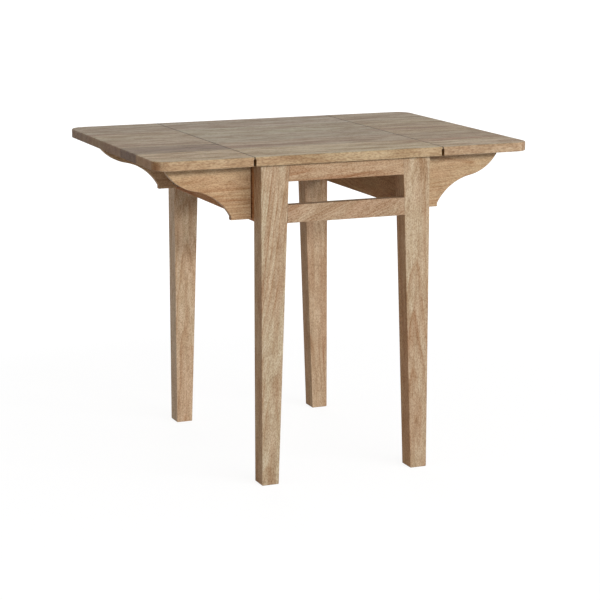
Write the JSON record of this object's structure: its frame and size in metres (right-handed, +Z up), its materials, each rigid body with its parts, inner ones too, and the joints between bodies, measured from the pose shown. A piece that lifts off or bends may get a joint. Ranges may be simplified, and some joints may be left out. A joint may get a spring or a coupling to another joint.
{
  "type": "drop-leaf dining table",
  "caption": "Drop-leaf dining table: fixed centre top, hinged end leaves, tapered legs with slotted end rails, and swinging ogee brackets that hold the leaves level.",
  "frame": {"origin": "on the floor under the middle of the top", "axes": "+X along the extension towards the right leaf, +Y across towards the rear, +Z up"},
  "size_m": [0.916, 0.68, 0.76],
  "materials": {
    "top_wood": "matt oiled hardwood planks, greyed",
    "frame_wood": "matt oiled hardwood",
    "bracket_wood": "matt oiled hardwood",
    "cleat_wood": "unfinished hardwood",
    "hinge_steel": "plain rolled steel",
    "screw_steel": "zinc plated steel"
  },
  "bodies": {
    "frame": {"centre_top": "top_wood", "leg_front_left": "frame_wood", "leg_front_right": "frame_wood", "leg_rear_left": "frame_wood", "leg_rear_right": "frame_wood", "front_upper_rail": "frame_wood", "front_lower_rail": "frame_wood", "rear_upper_rail": "frame_wood", "rear_lower_rail": "frame_wood", "side_apron_left": "frame_wood", "side_apron_right": "frame_wood", "top_cleat_left": "cleat_wood", "top_cleat_right": "cleat_wood", "leaf_hinge_centre_flap_left": "hinge_steel", "leaf_hinge_centre_flap_right": "hinge_steel", "leaf_hinge_pin_left": "hinge_steel", "leaf_hinge_pin_right": "hinge_steel", "bracket_hinge_apron_flaps_front_left": "hinge_steel", "bracket_hinge_apron_flaps_front_right": "hinge_steel", "bracket_hinge_apron_flaps_rear_left": "hinge_steel", "bracket_hinge_apron_flaps_rear_right": "hinge_steel", "bracket_hinge_pins_front_left": "hinge_steel", "bracket_hinge_pins_front_right": "hinge_steel", "bracket_hinge_pins_rear_left": "hinge_steel", "bracket_hinge_pins_rear_right": "hinge_steel", "leaf_hinge_centre_screws_left": "screw_steel", "leaf_hinge_centre_screws_right": "screw_steel", "bracket_hinge_apron_screws_front_left": "screw_steel", "bracket_hinge_apron_screws_front_right": "screw_steel", "bracket_hinge_apron_screws_rear_left": "screw_steel", "bracket_hinge_apron_screws_rear_right": "screw_steel", "cleat_screws_left": "screw_steel", "cleat_screws_right": "screw_steel", "top_screws_left": "screw_steel", "top_screws_right": "screw_steel"},
    "left_leaf": {"leaf_left": "top_wood", "leaf_hinge_leaf_flap_left": "hinge_steel", "leaf_hinge_leaf_screws_left": "screw_steel"},
    "right_leaf": {"leaf_right": "top_wood", "leaf_hinge_leaf_flap_right": "hinge_steel", "leaf_hinge_leaf_screws_right": "screw_steel"},
    "front_left_bracket": {"bracket_front_left": "bracket_wood", "bracket_hinge_bracket_flaps_front_left": "hinge_steel", "bracket_hinge_bracket_screws_front_left": "screw_steel"},
    "front_right_bracket": {"bracket_front_right": "bracket_wood", "bracket_hinge_bracket_flaps_front_right": "hinge_steel", "bracket_hinge_bracket_screws_front_right": "screw_steel"},
    "rear_left_bracket": {"bracket_rear_left": "bracket_wood", "bracket_hinge_bracket_flaps_rear_left": "hinge_steel", "bracket_hinge_bracket_screws_rear_left": "screw_steel"},
    "rear_right_bracket": {"bracket_rear_right": "bracket_wood", "bracket_hinge_bracket_flaps_rear_right": "hinge_steel", "bracket_hinge_bracket_screws_rear_right": "screw_steel"}
  },
  "joints": [
    {"name": "left_leaf_lift", "type": "hinge", "parent": "frame", "child": "left_leaf", "pos_m": [-0.23, 0, 0.7417], "axis": [0, 1, 0], "range_deg": [0, 5]},
    {"name": "right_leaf_lift", "type": "hinge", "parent": "frame", "child": "right_leaf", "pos_m": [0.23, 0, 0.7417], "axis": [0, -1, 0], "range_deg": [0, 5]},
    {"name": "front_left_bracket_swing", "type": "hinge", "parent": "frame", "child": "front_left_bracket", "pos_m": [-0.2085, -0.2425, 0.674], "axis": [0, 0, -1], "range_deg": [0, 90]},
    {"name": "front_right_bracket_swing", "type": "hinge", "parent": "frame", "child": "front_right_bracket", "pos_m": [0.2085, -0.2425, 0.674], "axis": [0, 0, 1], "range_deg": [0, 90]},
    {"name": "rear_left_bracket_swing", "type": "hinge", "parent": "frame", "child": "rear_left_bracket", "pos_m": [-0.2085, 0.2425, 0.674], "axis": [0, 0, 1], "range_deg": [0, 90]},
    {"name": "rear_right_bracket_swing", "type": "hinge", "parent": "frame", "child": "rear_right_bracket", "pos_m": [0.2085, 0.2425, 0.674], "axis": [0, 0, -1], "range_deg": [0, 90]}
  ]
}
